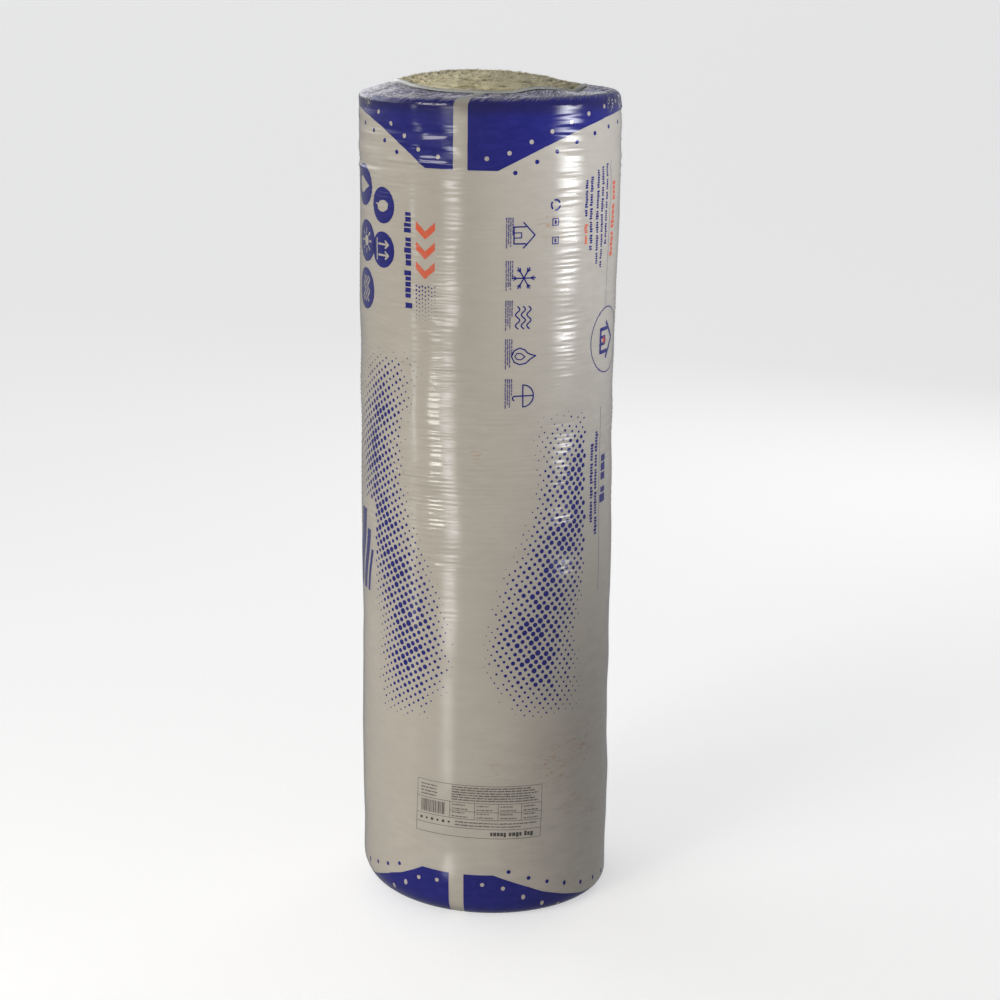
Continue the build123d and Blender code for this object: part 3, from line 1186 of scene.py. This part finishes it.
def ink_material(name, colour, worn):
    """Ink that pales towards a painted grazing reflection where the film is turned in and has creases, most
    of all on the left.
    """
    material = new_material(name, **GLOSS)
    tree = material.node_tree
    on_film = Film(tree)
    tone = blend(noise(tree, (50, 50, 120), 5.0, 0.62).ramp(0.36, 0.74), colour, worn)
    tone = blend(on_film.band(*RIM_SHADE) * RIM_SHADE_DEPTH, tone, (0.010, 0.008, 0.05))
    # painted reflection: the turned-in film pales to a grey sheen along its creases, more on the left where
    # the light falls
    sheen_on_creases = on_film.streaks.ramp(0.39, 0.64) * 0.74 + 0.20
    sheen_leftward = on_film.angle.math("SINE") * -0.56 + 0.60
    tone = blend(on_film.turned_in * (sheen_on_creases * sheen_leftward), tone, (0.50, 0.475, 0.49))
    # painted glints: pale marks along the rays of the bunched creases, broken up by the streaks
    glint_breaks = on_film.streaks.ramp(0.44, 0.54)
    for settings in STARS:
        star_glints = on_film.star(*settings).ramp(0.15, 0.5) * glint_breaks
        tone = blend(star_glints, tone, (0.72, 0.71, 0.74))
    # painted shade: a dark line in the fold just below the lip
    tone = blend(on_film.band(LIP - 8.5, LIP - 6), tone, (0.012, 0.011, 0.030))
    return finish_material(material, tone, on_film.relief(), FILM_BUMP)


def wool_material(name, dark_tone, light_tone, lit, seams):
    """Wool combed along its turns; seams says how dark it gets between two of them."""
    material = new_material(name, Roughness=0.95, Specular_IOR_Level=0.12, Sheen_Weight=0.25)
    tree = material.node_tree
    x, y, _ = place_of(tree).parts()
    radius = (x * x + y * y).math("SQRT")
    angle = x.math("ARCTAN2", y * -1.0)
    turn = angle * (-1 / (2 * pi)) + (radius * (1 / (TURN * MM)) + (-EYE / TURN))
    seam = turn.math("PINGPONG", 0.5) * TURN
    c, s = angle.math("COSINE") * 4.5, angle.math("SINE") * 4.5
    streaks = noise_at(node(tree, "ShaderNodeCombineXYZ", {0: radius * 150.0, 1: c, 2: s}), 5.0, 0.65)
    specks = noise(tree, (420, 420, 420), 3.0, 0.6)
    patches = noise(tree, (26, 26, 26))
    tone = blend(patches.ramp(0.4, 0.68), light_tone, lit)
    tone = blend(streaks.ramp(0.36, 0.54), dark_tone, tone)
    tone = blend(specks.ramp(0.60, 0.72), tone, [0.55 * part for part in dark_tone])
    shade = seam.ramp(2.4, 0.5) * (patches * seams + 0.2)
    tone = blend(shade, tone, [0.5 * part for part in dark_tone])
    return finish_material(material, tone, streaks * 0.7 + specks * 0.3, 0.0012, 0.7)


film.data.materials.append(film_material())
INKS = {
    "ink_blue": ink_material("ink_blue", (0.010, 0.012, 0.160), (0.018, 0.018, 0.200)),
    "ink_orange": ink_material("ink_orange", (0.70, 0.105, 0.045), (0.62, 0.16, 0.09)),
    "ink_dark": ink_material("ink_dark", (0.07, 0.065, 0.065), (0.12, 0.11, 0.10)),
}
for piece, ink in prints:
    piece.data.materials.append(INKS[ink])
LAYERS = ((0.27, 0.225, 0.10), (0.82, 0.75, 0.51), (0.70, 0.63, 0.41), 1.0)
STRANDS = ((0.60, 0.54, 0.34), (0.86, 0.81, 0.60), (0.80, 0.73, 0.52), 0.2)
wool.data.materials.append(wool_material("glass_wool_layers", *LAYERS))
fibres.data.materials.append(wool_material("glass_wool_strands", *STRANDS))


# Bodies; the imported film and wool parts are hidden

for piece, slot in [(film, "shrink_film"), (wool, "glass_wool"), (fibres, "glass_wool")] + prints:
    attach(piece, "root")
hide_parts("wrap_film")
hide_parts("wool_roll")


# Floor, light and world

FLOOR_REACH, FLOOR_HEIGHT = 90, -0.0004  # metres; a hair low, so that the roll's foot shows
WALL_RADIUS, WALL_SIDES, WALL_HEIGHTS = 85, 48, (-1, 60)


def glowing(name, colour, glow, roughness, specular):
    return new_material(name, Base_Color=(*colour, 1), Roughness=roughness, Specular_IOR_Level=specular,
                        Emission_Color=(1, 1, 1, 1), Emission_Strength=glow)


def add_floor():
    signs = ((-1, -1), (1, -1), (1, 1), (-1, 1))
    corners = [(x * FLOOR_REACH, y * FLOOR_REACH, FLOOR_HEIGHT) for x, y in signs]
    floor = new_piece("floor", corners, [(0, 1, 2, 3)])
    floor.data.materials.append(glowing("pale_floor", (0.62, 0.62, 0.62), 0.52, 0.8, 0.1))
    floor.visible_diffuse = floor.visible_glossy = False  # its own glow is not to light the roll


def add_backdrop():
    """A far pale wall, which only views from low down reach."""
    around = disc(0, 0, WALL_RADIUS, WALL_SIDES)
    points = [(x, y, z) for z in WALL_HEIGHTS for x, y in around]
    low, high = list(range(WALL_SIDES)), list(range(WALL_SIDES, 2 * WALL_SIDES))
    backdrop = new_piece("backdrop", points, [
        (low[n - 1], low[n], high[n], high[n - 1]) for n in range(WALL_SIDES)
    ])
    backdrop.data.materials.append(glowing("pale_wall", (0, 0, 0), 0.8, 1.0, 0.0))
    backdrop.visible_diffuse = backdrop.visible_glossy = backdrop.visible_shadow = False


def add_light(name, place, target, size, power, spread=180, colour=(1, 1, 1)):
    """A soft rectangle of light, in metres, watts and degrees."""
    data = bpy.data.lights.new(name, "AREA")
    data.shape = "RECTANGLE"
    data.size, data.size_y = size
    data.energy = power
    data.spread = radians(spread)
    data.color = colour
    light = bpy.data.objects.new(name, data)
    bpy.context.scene.collection.objects.link(light)
    light.location = place
    light.rotation_euler = (Vector(target) - Vector(place)).to_track_quat("-Z", "Y").to_euler()
    return light


add_floor()
add_backdrop()
add_light("left_softbox", (-2.7, -2.3, 2.1), (0, 0, 0.4), (1.6, 1.2), 44, 180, (1.0, 0.965, 0.905))
add_light("left_foot_fill", (-2.2, -2.2, 0.2), (0, 0, 0.2), (0.6, 0.3), 0.45, 30, (1.0, 0.965, 0.905))
for light in (
    add_light("left_fill", (-2.1, -2.8, 1.42), (0, 0, 0.7), (1.0, 0.22), 29, 180, (1.0, 0.97, 0.9)),
    add_light("right_fill", (1.94, -0.66, 0.83), (0, 0, 1.2), (0.5, 0.3), 2.9, 50, (0.88, 0.92, 1.0)),
    add_light("back_fill", (1.6, 2.9, 1.9), (0, 0, 0.6), (1.5, 1.0), 18),
):
    light.visible_glossy = False  # the film is to mirror the windows, not these

WINDOWS = (  # azimuth in degrees, half width, the heights where it starts, is full, fades and ends, strength
    (-34, 0.17, (-0.41, -0.20, -0.185, -0.135), 8.0),
    (-34, 0.20, (-0.19, -0.13, 0.00, 0.10), 1.6),
    (-69, 0.08, (-0.35, -0.24, -0.17, -0.12), 3.0),
    (72, 0.30, (-0.20, -0.13, 0.02, 0.10), 7.0),
    (72, 0.26, (-0.125, -0.105, 0.02, 0.10), 9.0),
)


def window(direction, degrees, width, heights, strength):
    """An upright strip of brightness with soft edges, as a window gives."""
    x, y, z = direction
    c, s = cos(radians(degrees)), sin(radians(degrees))
    start, full, fading, end = heights
    across = (x * c + y * s).math("ABSOLUTE").ramp(width, 0.0) * (x * s - y * c).ramp(0.0, 0.1)
    upright = z.ramp(start, full) * z.ramp(end, fading)
    return across * upright * strength


def add_world():
    """A bright room behind and above the roll, a dim one in front of it, and its windows."""
    world = bpy.data.worlds.new("studio")
    bpy.context.scene.world = world
    world.use_nodes = True
    tree = world.node_tree
    x, y, z = node(tree, "ShaderNodeTexCoord", output="Generated").parts()
    behind = (x * -0.7 + y * 0.71).ramp(0.45, 0.95) * z.ramp(0.0, 0.12)
    shine = behind * 1.5 + 0.25
    for settings in WINDOWS:
        shine = shine + window((x, y, z), *settings)
    background = tree.nodes["Background"]
    background.inputs[0].default_value = (0.97, 0.975, 1.0, 1)
    tree.links.new(shine.socket, background.inputs[1])


add_world()

bpy.context.scene.view_settings.view_transform = "Standard"

bpy.context.view_layer.update()
